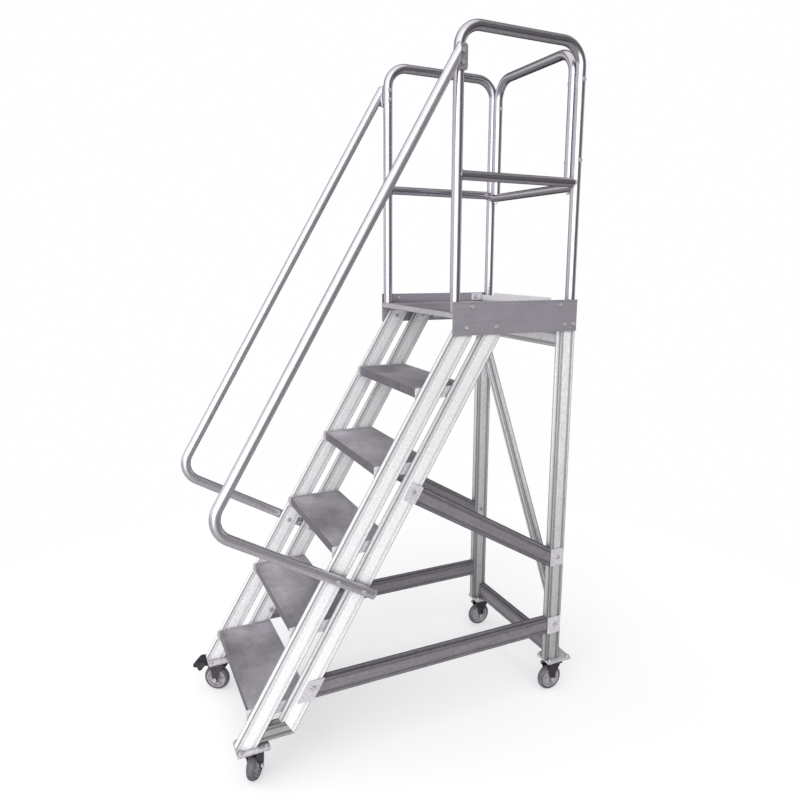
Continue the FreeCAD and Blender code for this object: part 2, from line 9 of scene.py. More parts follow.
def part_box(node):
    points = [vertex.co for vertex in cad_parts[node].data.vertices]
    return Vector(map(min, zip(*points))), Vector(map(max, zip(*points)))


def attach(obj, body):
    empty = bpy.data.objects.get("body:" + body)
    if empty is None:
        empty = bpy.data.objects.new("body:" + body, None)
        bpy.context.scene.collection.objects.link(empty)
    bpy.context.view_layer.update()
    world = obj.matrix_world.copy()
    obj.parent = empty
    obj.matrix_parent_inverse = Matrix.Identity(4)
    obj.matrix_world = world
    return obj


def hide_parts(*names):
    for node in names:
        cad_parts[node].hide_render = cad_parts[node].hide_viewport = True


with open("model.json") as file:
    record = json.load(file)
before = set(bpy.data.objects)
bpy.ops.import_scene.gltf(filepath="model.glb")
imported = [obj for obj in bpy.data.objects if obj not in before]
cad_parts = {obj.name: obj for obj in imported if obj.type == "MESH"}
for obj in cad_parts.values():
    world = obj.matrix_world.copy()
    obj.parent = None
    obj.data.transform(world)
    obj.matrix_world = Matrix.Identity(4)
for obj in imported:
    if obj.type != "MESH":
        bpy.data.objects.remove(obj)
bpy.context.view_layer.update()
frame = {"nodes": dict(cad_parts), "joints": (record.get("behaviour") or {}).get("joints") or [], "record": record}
RECORD = frame["record"]
BODY_OF = {n: body for body, nodes in RECORD["behaviour"]["bodies"].items() for n in nodes}
SLOT_OF = {s["node"]: s["material_slot"] for s in RECORD["subparts"]}

# ---------------------------------------------------------------- sizes, in metres
GAP = 0.0003                        # clearance between neighbouring parts
UP = Vector((0, 0, 1))
X_DIR = Vector((1, 0, 0))
Y_DIR = Vector((0, 1, 0))

# stringers
WORKING_Y = 0.1289                  # the ladder's design Y = 0 lies here in the frame
RAIL_REF_Y = 0.003                  # point from which places along and square to the stringer are
RAIL_REF_Z = 1.426                  # measured, with its Y taken from the design's Y = 0
STRINGER_ANGLE = math.radians(59.45)
ALONG = Vector((0, math.cos(STRINGER_ANGLE), math.sin(STRINGER_ANGLE)))     # up the stringer
SQUARE = Vector((0, math.sin(STRINGER_ANGLE), -math.cos(STRINGER_ANGLE)))   # square to it, rearwards
DIAGONAL = Vector((0.5004, 0, -0.8658))     # down the slanted brace between the rear legs

# extrusions
GROOVE_FLOOR = (0.0008, 0.0018)     # depth of the grooves' floors under the face
GROOVE_SPAN = (0.0065, 0.0175)      # how far in from the edge the grooves lie
SLANTED = 0.5                       # a face this far from square is a chamfer or a groove's side
CORNER = 0.0020                     # chamfers lie this close to the section's outline

# copies of CAD nodes
MERGE = 2e-6                        # points closer than this are one point
FLAT = math.radians(0.6)            # faces that differ by less than this are one face
SHARP = math.radians(28.0)          # edges that turn more than this are rounded
STEEP = 0.9                         # a grain direction with more than this share of Z counts as upright
ROUNDING = 0.0006
FINE_ROUNDING = 0.0004              # of thin ribs and panels
BOLT_ROUNDING = 0.0007
CASTER_ROUNDING = 0.0008
LIP_FACING = -0.7                   # a tread's front lip faces -Y at least this much
LIP_AREA = 0.005                    # and is larger than its ribs' sides

# tubes
TUBE_R = 0.017
MID_R = 0.0155
BEND_R = 0.075                      # of every bend, along the tube's middle
HOOP_FOOT = 0.8                     # share of the knee rail's radius at which the hoop's posts end
TUBE_SIDES = 48
ARC_STEPS = 14

# weld beads where the knee rails meet their posts
BEAD_R = 0.0026
BEAD_SIDES = 10
BEAD_IN = 0.0006                    # the bead's middle lies this far along the rail
RIPPLES = 15
RIPPLE_DEPTH = 0.13                 # share of the bead's radius

# handrails
HAND_X = 0.3105                     # from the ladder's middle plane
HAND_S = -0.430                     # run, and lower end, measured square to the stringer
HAND_END_S = 0.173
HAND_L = -0.871                     # lower leg, measured along the stringer
HAND_ANGLE = math.radians(59.9)
PLUG = ((0.0050, 0.0150), (0.0050, 0.0168), (0.0040, 0.0178),       # (distance out, radius) of the
        (0.0006, 0.0178), (0.0, 0.0171))                            # round plug in the lower end
MITRE_Y = WORKING_Y - 0.004         # upright line where the tube is pressed flat
MITRE_CLEAR = 0.002                 # round tube ends this far before the pressed part
MITRE_GRAIN = 0.030                 # length of grain taken up by the mitre
PRESS_LENGTH = 0.007
PRESS_STEPS = 6
ROUND_POWER = 2                     # superellipse powers of the tube and of the flat tab
BAR_POWER = 8
TAB_Z = 2.282                       # height of the flat tab's middle
TAB_HALF = 0.039                    # half its own height
TAB_THICK = 0.006
TAB_END = ((0.034, 1.0, 1.0), (0.0365, 0.97, 1.0), (0.0385, 0.91, 1.0),     # (distance past the mitre,
           (0.0396, 0.84, 0.85), (0.0398, 0.80, 0.85))                      # share of height, of thickness)

# wheels: outlines are (radius, offset along the axle) on one side of the wheel's middle
TURN_STEPS = 96
WHEEL_R = 0.050
TREAD_R = 0.0395                    # where the tyre's crown starts
TYRE_HALF = 0.014
CROWN_STEPS = 28
HUB_R = 0.0375
TYRE_FLANK = ((HUB_R + 0.0001, TYRE_HALF - 0.0020), (TREAD_R - 0.0012, TYRE_HALF - 0.0003),
              (TREAD_R - 0.0006, TYRE_HALF - 0.0009), (TREAD_R, TYRE_HALF))
HUB_OUTLINE = ((HUB_R, 0.0122), (0.0368, 0.0128), (0.0330, 0.0128), (0.0322, 0.0122),       # rim
               (0.0312, 0.0070), (0.0295, 0.0062), (0.0165, 0.0062), (0.0150, 0.0072),      # web
               (0.0128, 0.0180), (0.0120, 0.0188), (0.0062, 0.0188), (0.00505, 0.0178))     # boss
HUB_RIBS = 6
RIB_FOOT = 0.0050                   # ribs rise from this depth inside the web
RIB_STATIONS = ((0.0130, 0.0150, 0.0016), (0.0190, 0.0118, 0.0014),     # (radius, height, half width)
                (0.0260, 0.0112, 0.0013), (0.0325, 0.0125, 0.0014))
RIB_FLARE = 1.5                     # a rib's foot is this much wider than its body
RIB_EASE = (0.0005, 0.0006)         # how much its top corners are taken off, across and down

# textures: noise per metre, and the tones of random patches and of painted shade
GRAIN_SCALE = (7.0, 520.0, 520.0)   # along and across a metal's grain
SMUDGE_SCALE = 3.2
SCUFF_SCALE = 38.0
METAL_STOPS = (0.34, 0.66)          # noise at which a colour is darkest, and brightest
SCUFF_STOPS = (0.35, 0.68)
GLOSS_RANGE = (0.3, 0.7)            # noise at which roughness is least, and greatest
GLOSS_SPREAD = (0.08, 0.10)         # how far that is below, and above, a metal's own roughness
SCUFF_SPREAD = 0.12
CORNER_REACH = 0.02
# painted shade: corners are darkened in the colour by how closed they are
CORNER_SHADE = ((0.25, 0.85), (0.45, 1.0))      # how open a corner is, and its tone
SMUDGE_RANGE = (0.36, 0.64)
# painted shade: a frame member's colour may darken towards its bottom or its top
SHADE_HEIGHTS = (0.20, 1.20)        # between these heights a frame member's tone may change
UNIT = (0.0, 1.0)                   # range of the noise, and of the marks on grooves and edges

# studio; the camera's place, way and lens were worked out from the ladder's long edges
FLOOR_RADIUS = 2.3
FLOOR_GREY = (0.60, 0.60, 0.61, 1)
FLOOR_GLOW = 0.46
WHITE = (1.0, 0.995, 1.0, 1)
# axis, cosines between which the world's strength changes, and the strengths away from it and along it
DARK_ZONES = (((-0.90, 0.43, 0.0), (0.45, 0.92), (1.0, 0.06)),      # beyond the ladder
              ((0.72, 0.69, 0.0), (0.64, 0.94), (1.0, 0.16)),       # to the camera's right
              ((0.0, 0.0, 1.0), (0.10, 0.50), (1.12, 0.34)),        # above
              ((0.0, 0.0, -1.0), (0.0, 0.16), (1.0, 0.35)))         # below
SUNS = (("soft_key", (-0.35, 0.55, -1.0), 1.9, 100), ("soft_fill", (-0.80, 0.50, -0.30), 0.9, 80),
        ("strip", (-0.80, 0.55, 0.05), 0.8, 56))                    # name, direction, energy, degrees wide
CAMERA_AT = (2.24115, -0.94225, 1.66668)
CAMERA_WAY = (-0.88413, 0.42904, -0.18504)
CAMERA_ROLL = math.radians(0.43)
LENS = 30.6
SHIFT_X = -0.02154
SHIFT_Y = -0.01348


# ---------------------------------------------------------------- materials
def node_tree(name):
    """A new material with its nodes and links."""
    material = bpy.data.materials.new(name)
    material.use_nodes = True
    return material, material.node_tree.nodes, material.node_tree.links


def add(nodes, kind, **values):
    """A shader node with its properties and unlinked inputs set by name."""
    made = nodes.new("ShaderNode" + kind)
    for key, value in values.items():
        if hasattr(made, key):
            setattr(made, key, value)
        else:
            made.inputs[key.replace("_", " ")].default_value = value
    return made


def grey(level):
    """A grey with a faint violet cast, which fades as the grey gets lighter."""
    cast = 1 - level
    return (level * (1 + 0.01 * cast), level * (1 - 0.09 * cast), level * (1 + 0.09 * cast), 1)


def ramp(nodes, links, factor, stops):
    """Two colours laid along a factor, at the given (place, colour) stops."""
    made = nodes.new("ShaderNodeValToRGB")
    links.new(factor, made.inputs["Fac"])
    for element, (place, colour) in zip(made.color_ramp.elements, stops):
        element.position = place
        element.color = colour
    return made.outputs["Color"]


def shaded(nodes, links, colour, factor):
    """The colour multiplied by a factor."""
    made = add(nodes, "Mix", data_type="RGBA", blend_type="MULTIPLY")
    made.inputs[0].default_value = 1.0
    links.new(colour, made.inputs[6])
    links.new(factor, made.inputs[7])
    return made.outputs[2]


def rescaled(nodes, links, value, source, target):
    """The value taken from one range to another, and kept within it."""
    made = nodes.new("ShaderNodeMapRange")
    made.inputs["From Min"].default_value, made.inputs["From Max"].default_value = source
    made.inputs["To Min"].default_value, made.inputs["To Max"].default_value = target
    links.new(value, made.inputs["Value"])
    return made.outputs["Result"]


def metal(name, dark, bright, metallic, rough, mottle=60.0, mottle_share=0.5, relief=0.08,
          groove_shade=0.5, edge_shade=0.5, patches=0.0, shade_by_height=(1.0, 1.0), uneven=1.0):
    """Bare metal: streaks along the grain, cloudy mottling, fine scratches and large random patches of lighter
    and darker tone, with painted shade in corners, in grooves and on edges, and painted shade that may change with
    height."""
    material, nodes, links = node_tree(name)
    shader = nodes["Principled BSDF"]
    grain = add(nodes, "Attribute", attribute_name="grain")
    place = nodes.new("ShaderNodeTexCoord")

    along = add(nodes, "Mapping")
    along.inputs["Scale"].default_value = GRAIN_SCALE
    links.new(grain.outputs["Vector"], along.inputs["Vector"])
    streaks = add(nodes, "TexNoise", Scale=1.0, Detail=4.0, Roughness=0.65)
    links.new(along.outputs["Vector"], streaks.inputs["Vector"])

    clouds = add(nodes, "TexNoise", Scale=mottle, Detail=5.0, Roughness=0.62)
    links.new(place.outputs["Object"], clouds.inputs["Vector"])

    mixed = add(nodes, "Mix", data_type="FLOAT")
    mixed.inputs[0].default_value = mottle_share
    links.new(streaks.outputs["Fac"], mixed.inputs[2])
    links.new(clouds.outputs["Fac"], mixed.inputs[3])
    tone = ramp(nodes, links, mixed.outputs[0], zip(METAL_STOPS, (grey(dark), grey(bright))))

    # painted shade: ambient occlusion darkens the colour in corners
    corners = add(nodes, "AmbientOcclusion", samples=6, Distance=CORNER_REACH)
    smudges = add(nodes, "TexNoise", Scale=SMUDGE_SCALE, Detail=1.5, Roughness=0.4)
    links.new(place.outputs["Object"], smudges.inputs["Vector"])
    # painted shade: the marked floors of grooves are darkened
    channel = add(nodes, "Attribute", attribute_name="groove")
    # painted shade: the marked corners of sections are darkened
    edge = add(nodes, "Attribute", attribute_name="edge")
    # painted shade: the colour may darken with height, or towards the bottom
    spot = nodes.new("ShaderNodeSeparateXYZ")
    links.new(place.outputs["Object"], spot.inputs["Vector"])
    for value, source, target in (
            (corners.outputs["AO"], *CORNER_SHADE),
            (smudges.outputs["Fac"], SMUDGE_RANGE, (1.0 - patches, 1.0 + patches)),
            (channel.outputs["Fac"], UNIT, (1.0, groove_shade)),
            (edge.outputs["Fac"], UNIT, (1.0, edge_shade)),
            (spot.outputs["Z"], SHADE_HEIGHTS, shade_by_height)):
        tone = shaded(nodes, links, tone, rescaled(nodes, links, value, source, target))
    links.new(tone, shader.inputs["Base Color"])

    gloss = rescaled(nodes, links, mixed.outputs[0], GLOSS_RANGE,
                     (rough - GLOSS_SPREAD[0] * uneven, rough + GLOSS_SPREAD[1] * uneven))
    links.new(gloss, shader.inputs["Roughness"])

    bump = add(nodes, "Bump", Strength=relief, Distance=0.0004)
    links.new(streaks.outputs["Fac"], bump.inputs["Height"])
    links.new(bump.outputs["Normal"], shader.inputs["Normal"])
    shader.inputs["Metallic"].default_value = metallic
    return material


def moulded(name, dark, bright, rough, speckle=500.0):
    """Rubber, plastic or enamel: a fine pebbled skin with dust and scuffs."""
    material, nodes, links = node_tree(name)
    shader = nodes["Principled BSDF"]
    place = nodes.new("ShaderNodeTexCoord")
    skin = add(nodes, "TexNoise", Scale=speckle, Detail=3.0, Roughness=0.6)
    scuffs = add(nodes, "TexNoise", Scale=SCUFF_SCALE, Detail=6.0, Roughness=0.7)
    for texture in (skin, scuffs):
        links.new(place.outputs["Object"], texture.inputs["Vector"])
    tone = ramp(nodes, links, scuffs.outputs["Fac"], zip(SCUFF_STOPS, (grey(dark), grey(bright))))
    links.new(tone, shader.inputs["Base Color"])
    gloss = rescaled(nodes, links, scuffs.outputs["Fac"], UNIT,
                     (rough - SCUFF_SPREAD, rough + SCUFF_SPREAD))
    links.new(gloss, shader.inputs["Roughness"])
    bump = add(nodes, "Bump", Strength=0.25, Distance=0.0003)
    links.new(skin.outputs["Fac"], bump.inputs["Height"])
    links.new(bump.outputs["Normal"], shader.inputs["Normal"])
    return material


# the groove, edge and height tones below are painted shade
STRINGER = metal("stringer_aluminium", 0.76, 1.0, 0.10, 0.45, mottle=150.0, mottle_share=0.85,
                 groove_shade=0.80, edge_shade=0.40, shade_by_height=(1.0, 0.84))
LEG = metal("leg_aluminium", 0.70, 1.0, 0.25, 0.38, mottle=90.0, mottle_share=0.6,
            groove_shade=0.50, edge_shade=0.45, shade_by_height=(0.46, 1.0))
PROFILE = metal("profile_aluminium", 0.20, 0.36, 0.45, 0.36, mottle=60.0, mottle_share=0.4,
                groove_shade=0.66, edge_shade=0.45)
# painted shade: a darker copy of the metal, for the chamfered corners of extrusions
EDGE_SHADE = metal("edge_aluminium_painted_shade", 0.12, 0.24, 0.60, 0.36, mottle=120.0, mottle_share=0.6)
TUBE = metal("tube_aluminium", 0.46, 0.56, 0.95, 0.21, mottle=30.0, mottle_share=0.3,
             relief=0.03, uneven=0.5)
HANDRAIL = metal("handrail_aluminium", 0.52, 0.64, 0.74, 0.27, mottle=60.0, mottle_share=0.3,
                 relief=0.01, uneven=0.2)
RIBBED = metal("ribbed_aluminium", 0.36, 0.55, 0.45, 0.44, mottle=30.0, mottle_share=0.6, patches=0.35)
# painted shade: a darker copy of the ribbed metal, for the treads' front lips
LIP_SHADE = metal("lip_aluminium_painted_shade", 0.15, 0.25, 0.50, 0.44, mottle=30.0, mottle_share=0.6)
SHEET = metal("sheet_aluminium", 0.31, 0.38, 0.40, 0.42, mottle=14.0, mottle_share=0.3)
NOSING = metal("nosing_aluminium", 0.42, 0.58, 0.45, 0.42, mottle=60.0, mottle_share=0.6)
CAST = metal("cast_aluminium", 0.58, 0.86, 0.40, 0.42, mottle=160.0, mottle_share=0.8)
BRIGHT_STEEL = metal("bright_steel", 0.44, 0.74, 0.50, 0.26, mottle=140.0, mottle_share=0.8)
ZINC_STEEL = metal("zinc_steel", 0.06, 0.14, 0.75, 0.36, mottle=110.0, mottle_share=0.8)
TYRE = moulded("tyre_rubber", 0.075, 0.155, 0.50)
HUB = moulded("grey_plastic", 0.26, 0.42, 0.45, speckle=900.0)
BLACK = moulded("black_paint", 0.014, 0.06, 0.34, speckle=700.0)
LOOKS = {"profile_aluminium": PROFILE, "tube_aluminium": TUBE, "ribbed_aluminium": RIBBED,
         "sheet_aluminium": SHEET, "cast_aluminium": CAST, "bright_steel": BRIGHT_STEEL,
         "zinc_steel": ZINC_STEEL, "tyre_rubber": TYRE, "grey_plastic": HUB, "black_paint": BLACK}


def material_for(node):
    """The finish of a node: its slot's, unless the piece has one of its own."""
    if node.startswith("stringer") or node == "toe_board":
        return STRINGER
    if node.startswith(("leg", "foot_rail")) or node in ("rear_beam", "rear_diagonal"):
        return LEG
    if node.startswith("handrail"):
        return HANDRAIL
    if node == "platform_nosing":
        return NOSING
    return LOOKS[SLOT_OF[node]]


# ---------------------------------------------------------------- mesh helpers
def new_mesh():
    """An empty mesh and its layer of grain coordinates."""
    bm = bmesh.new()
    return bm, bm.verts.layers.float_vector.new("grain")


def make_piece(name, bm, node, smooth=32.0, stands_for=True):
    """Links a mesh as a shown piece that moves with the node's body."""
    mesh = bpy.data.meshes.new(name)
    bm.to_mesh(mesh)
    bm.free()
    mesh.materials.append(material_for(node))
    mesh.shade_smooth()
    mesh.set_sharp_from_angle(angle=math.radians(smooth))
    piece = bpy.data.objects.new(name, mesh)
    bpy.context.scene.collection.objects.link(piece)
    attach(piece, BODY_OF[node])
    if stands_for:
        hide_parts(node)
    return piece


def mark_section(bm, wide, deep):
    """Gives 1 to the points on the floors of an extrusion's shallow grooves, and to those on its corners, which
    the material darkens as painted shade.
    """
    groove = bm.verts.layers.float.new("groove")
    edge = bm.verts.layers.float.new("edge")
    us = [v.co.dot(wide) for v in bm.verts]
    vs = [v.co.dot(deep) for v in bm.verts]
    low_u, high_u, low_v, high_v = min(us), max(us), min(vs), max(vs)
    for vert, u, v in zip(bm.verts, us, vs):
        u_in = min(u - low_u, high_u - u)
        v_in = min(v - low_v, high_v - v)
        if GROOVE_FLOOR[0] < v_in < GROOVE_FLOOR[1] and GROOVE_SPAN[0] < u_in < GROOVE_SPAN[1]:
            vert[groove] = 1.0
        if max(u_in, v_in) < CORNER:
            vert[edge] = 1.0


def paint_edge_shade(piece, wide, deep):
    """Gives the chamfered corners of an extrusion a darker copy of the metal, as painted shade."""
    piece.data.materials.append(EDGE_SHADE)
    outline = []
    for way in (wide, deep):
        places = [v.co.dot(way) for v in piece.data.vertices]
        outline.append((way, min(places), max(places)))
    for face in piece.data.polygons:
        slanted = min(abs(face.normal.dot(wide)), abs(face.normal.dot(deep))) > SLANTED
        inside = []
        for way, low, high in outline:
            place = face.center.dot(way)
            inside.append(min(place - low, high - place))
        if slanted and max(inside) < CORNER:
            face.material_index = 1


def refined(node, along, rounding=ROUNDING, section=None):
    """A copy of a CAD node with whole faces and rounded edges, and its grain laid along a direction."""
    bm = bmesh.new()
    bm.from_mesh(frame["nodes"][node].data)
    grain = bm.verts.layers.float_vector.new("grain")
    bmesh.ops.remove_doubles(bm, verts=bm.verts, dist=MERGE)
    bmesh.ops.dissolve_limit(bm, angle_limit=FLAT, verts=bm.verts, edges=bm.edges)
    edges = [e for e in bm.edges if len(e.link_faces) == 2 and e.calc_face_angle(0) > SHARP]
    bmesh.ops.bevel(bm, geom=edges, offset=rounding, segments=2, profile=0.6, affect="EDGES",
                    clamp_overlap=True)
    side = along.cross(UP if abs(along.z) < STEEP else Y_DIR).normalized()
    other = along.cross(side)
    for v in bm.verts:
        v[grain] = Vector((v.co.dot(along), v.co.dot(side), v.co.dot(other)))
    if section:
        mark_section(bm, *section)
    piece = make_piece("looks_" + node, bm, node)
    if section:
        paint_edge_shade(piece, *section)
    flat = piece.modifiers.new("flat_faces", "WEIGHTED_NORMAL")
    flat.keep_sharp = True
    return piece


def paint_lip_shade(piece):
    """Gives the front lips of a tread a darker copy of the ribbed metal, as painted shade."""
    if "tread" in piece.name:
        piece.data.materials.append(LIP_SHADE)
        for face in piece.data.polygons:
            if face.normal.y < LIP_FACING and face.area > LIP_AREA:
                face.material_index = 1


def skin(bm, grain, rings, capped=True, closed=False):
    """Joins rings of (point, grain) pairs with quads."""
    made = []
    for ring in rings:
        row = []
        for point, texture in ring:
            v = bm.verts.new(point)
            v[grain] = texture
            row.append(v)
        made.append(row)
    pairs = list(zip(made, made[1:]))
    if closed:
        pairs.append((made[-1], made[0]))
    for low, high in pairs:
        for k in range(len(low)):
            j = (k + 1) % len(low)
            bm.faces.new((low[k], low[j], high[j], high[k]))
    if capped and not closed:
        bm.faces.new(reversed(made[0]))
        bm.faces.new(made[-1])


def bent_path(points):
    """(point, direction, length so far) along straight runs joined by arcs of the bend radius."""
    path = [(points[0], (points[1] - points[0]).normalized(), 0.0)]
    length = 0.0
    for before, corner, after in zip(points, points[1:], points[2:]):
        a = (before - corner).normalized()
        b = (after - corner).normalized()
        half = a.angle(b) / 2
        start = corner + a * (BEND_R / math.tan(half))
        centre = corner + (a + b).normalized() * (BEND_R / math.sin(half))
        axis = (-a).cross(b).normalized()
        turn = math.pi - 2 * half
        length += (start - path[-1][0]).length
        for k in range(ARC_STEPS + 1):
            rotate = Matrix.Rotation(turn * k / ARC_STEPS, 3, axis)
            path.append((centre + rotate @ (start - centre), rotate @ (-a),
                         length + BEND_R * turn * k / ARC_STEPS))
        length += BEND_R * turn
    end = points[-1]
    path.append((end, (end - points[-2]).normalized(), length + (end - path[-1][0]).length))
    return path


def ring_at(point, direction, side, length, ra, rb, power=ROUND_POWER):
    """A closed ring across a tube: round at power 2, towards a rounded bar above that."""
    other = direction.cross(side)
    ring = []
    for k in range(TUBE_SIDES):
        c = math.cos(2 * math.pi * k / TUBE_SIDES)
        s = math.sin(2 * math.pi * k / TUBE_SIDES)
        u = math.copysign(abs(c) ** (2 / power), c) * ra
        v = math.copysign(abs(s) ** (2 / power), s) * rb
        ring.append((point + side * u + other * v, Vector((length, u, v))))
    return ring


def bent_tube(node, points, side):
    """A round tube along a bent path, which stands for the node."""
    bm, grain = new_mesh()
    rings = [ring_at(p, d, side, length, TUBE_R, TUBE_R) for p, d, length in bent_path(points)]
    skin(bm, grain, rings)
    make_piece("looks_" + node, bm, node)


# ---------------------------------------------------------------- guard rail
def centre_of(node):
    """The middle of a node's box."""
    low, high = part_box(node)
    return (low + high) / 2


def guard_loops():
    """One bent tube on each side of the platform: two posts and the top rail between them."""
    for tag in ("right", "left"):
        node = "guard_loop_" + tag
        low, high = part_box(node)
        x = (low.x + high.x) / 2
        front, back = low.y + TUBE_R, high.y - TUBE_R
        top = high.z - TUBE_R
        points = [Vector((x, front, low.z)), Vector((x, front, top)),
                  Vector((x, back, top)), Vector((x, back, low.z))]
        bent_tube(node, points, X_DIR)


def rear_hoop():
    """The bent tube across the back, which stands on the rear knee rail."""
    low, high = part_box("rear_hoop")
    left, right = low.x + TUBE_R, high.x - TUBE_R
    y = (low.y + high.y) / 2
    top = high.z - TUBE_R
    foot = centre_of("mid_rail_rear").z + MID_R * HOOP_FOOT
    points = [Vector((left, y, foot)), Vector((left, y, top)),
              Vector((right, y, top)), Vector((right, y, foot))]
    bent_tube("rear_hoop", points, Y_DIR)


def mid_rail(node, start, end):
    """Straight tube whose ends follow the round posts, with a weld bead at each end."""
    axis = (end - start).normalized()
    across = axis.cross(UP)
    span = (end - start).length
    ends = [[], []]
    bead_paths = [[], []]
    for k in range(TUBE_SIDES):
        a = 2 * math.pi * k / TUBE_SIDES
        u = MID_R * math.cos(a)
        v = MID_R * math.sin(a)
        out = (across * u + UP * v).normalized()
        reach = math.sqrt(TUBE_R ** 2 - u * u)
        for end_index, distance, inward in ((0, reach, axis), (1, span - reach, -axis)):
            point = start + axis * distance + across * u + UP * v
            ends[end_index].append((point, Vector((distance, u, v))))
            bead_paths[end_index].append((point + inward * BEAD_IN, out, inward, a))
    bm, grain = new_mesh()
    skin(bm, grain, ends, capped=False)
    make_piece("looks_" + node, bm, node)
    for end_index, path in enumerate(bead_paths):
        weld_bead("weld_%s_%d" % (node, end_index + 1), node, path)


def weld_bead(name, node, path):
    """A rippled ring of weld along (point, outward, inward, angle round the rail)."""
    rings = []
    for point, out, inward, a in path:
        size = BEAD_R * (1 + RIPPLE_DEPTH * math.sin(RIPPLES * a))
        ring = []
        for j in range(BEAD_SIDES):
            t = 2 * math.pi * j / BEAD_SIDES
            ring.append((point + out * (size * math.cos(t)) + inward * (size * math.sin(t)),
                         Vector((a * MID_R, size * math.cos(t), size * math.sin(t)))))
        rings.append(ring)
    bm, grain = new_mesh()
    skin(bm, grain, rings, closed=True)
    make_piece(name, bm, node, stands_for=False)


def mid_rails():
    """The knee rails: one between the posts of each guard loop, and one across the back."""
    for tag in ("right", "left"):
        node = "mid_rail_" + tag
        low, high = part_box("guard_loop_" + tag)
        x = (low.x + high.x) / 2
        z = centre_of(node).z
        mid_rail(node, Vector((x, low.y + TUBE_R, z)), Vector((x, high.y - TUBE_R, z)))
    left = centre_of("guard_loop_left").x
    right = centre_of("guard_loop_right").x
    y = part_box("guard_loop_right")[1].y - TUBE_R
    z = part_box("mid_rail_rear")[1].z - MID_R
    mid_rail("mid_rail_rear", Vector((left, y, z)), Vector((right, y, z)))


# ---------------------------------------------------------------- wheels
def wheel_axis(tag):
    """The middle of a caster's wheel, and the direction of its axle."""
    joint = [j for j in frame["joints"] if j["name"] == "wheel_" + tag][0]
    return Vector(joint["pos_m"]), Vector(joint["axis"])


def revolved(bm, grain, centre, axle, section):
    """Turns a closed section of (radius, offset along the axle) about the axle."""
    across = axle.cross(UP).normalized()
    rings = []
    for k in range(TURN_STEPS):
        a = 2 * math.pi * k / TURN_STEPS
        out = across * math.cos(a) + UP * math.sin(a)
        rings.append([(centre + out * r + axle * n, Vector((a * WHEEL_R, r, n))) for r, n in section])
    skin(bm, grain, rings, closed=True)


def mirrored(outline):
    """The same outline on the wheel's other side, in reverse order."""
    return [(r, -n) for r, n in reversed(outline)]


def tyre(tag):
    """Solid tyre with flat walls and a crowned tread."""
    centre, axle = wheel_axis(tag)
    node = "tyre_" + tag
    crown = []
    for k in range(1, CROWN_STEPS):
        a = math.pi * k / CROWN_STEPS
        crown.append((TREAD_R + (WHEEL_R - TREAD_R) * math.sin(a), TYRE_HALF * math.cos(a)))
    bm, grain = new_mesh()
    revolved(bm, grain, centre, axle, list(TYRE_FLANK) + crown + mirrored(TYRE_FLANK))
    make_piece("looks_" + node, bm, node, smooth=45.0)


def hub(tag):
    """Moulded hub: rim, dished web with ribs, and a boss around the axle."""
    centre, axle = wheel_axis(tag)
    node = "hub_" + tag
    bm, grain = new_mesh()
    revolved(bm, grain, centre, axle, list(HUB_OUTLINE) + mirrored(HUB_OUTLINE))
    across = axle.cross(UP).normalized()
    for face in (1, -1):
        for k in range(HUB_RIBS):
            a = 2 * math.pi * k / HUB_RIBS
            out = across * math.cos(a) + UP * math.sin(a)
            skin(bm, grain, hub_rib(centre, out, out.cross(axle), axle * face))
    bmesh.ops.recalc_face_normals(bm, faces=bm.faces)
    make_piece("looks_" + node, bm, node, smooth=30.0)


def hub_rib(centre, out, wide, away):
    """Sections of one rib, from the boss out to the rim."""
    rib = []
    for r, height, half in RIB_STATIONS:
        shoulder = height - RIB_EASE[1]
        top = half - RIB_EASE[0]
        ring = []
        for u, v in ((-half * RIB_FLARE, RIB_FOOT), (-half, shoulder), (-top, height),
                     (top, height), (half, shoulder), (half * RIB_FLARE, RIB_FOOT)):
            ring.append((centre + out * r + wide * u + away * v, Vector((r, u, v))))
        rib.append(ring)
    return rib


# ---------------------------------------------------------------- handrails
def handrail(tag, sign):
    """Bent tube with a round plug at its lower end, pressed flat and bolted to the guard post on top."""
    node = "handrail_" + tag
    x = X_DIR * (sign * HAND_X)
    ref = x + Vector((0, WORKING_Y + RAIL_REF_Y, RAIL_REF_Z))
    run = Vector((0, math.cos(HAND_ANGLE), math.sin(HAND_ANGLE)))
    lower_end = ref + SQUARE * HAND_END_S + ALONG * HAND_L
    corner = ref + SQUARE * HAND_S + ALONG * HAND_L
    mitre = corner + run * ((MITRE_Y - corner.y) / run.y)
    tube_end = mitre - run * (TUBE_R * run.z / run.y + MITRE_CLEAR)
    path = bent_path([lower_end, corner, tube_end])
    start, direction, _ = path[0]
    rings = []
    for back, radius in PLUG:
        rings.append(ring_at(start - direction * back, direction, X_DIR, -back, radius, radius))
    rings += [ring_at(p, d, X_DIR, length, TUBE_R, TUBE_R) for p, d, length in path]
    rings += pressed_tab(mitre, sign, TUBE_R / run.y, path[-1][2])
    bm, grain = new_mesh()
    skin(bm, grain, rings)
    bmesh.ops.recalc_face_normals(bm, faces=bm.faces)
    make_piece("looks_" + node, bm, node)


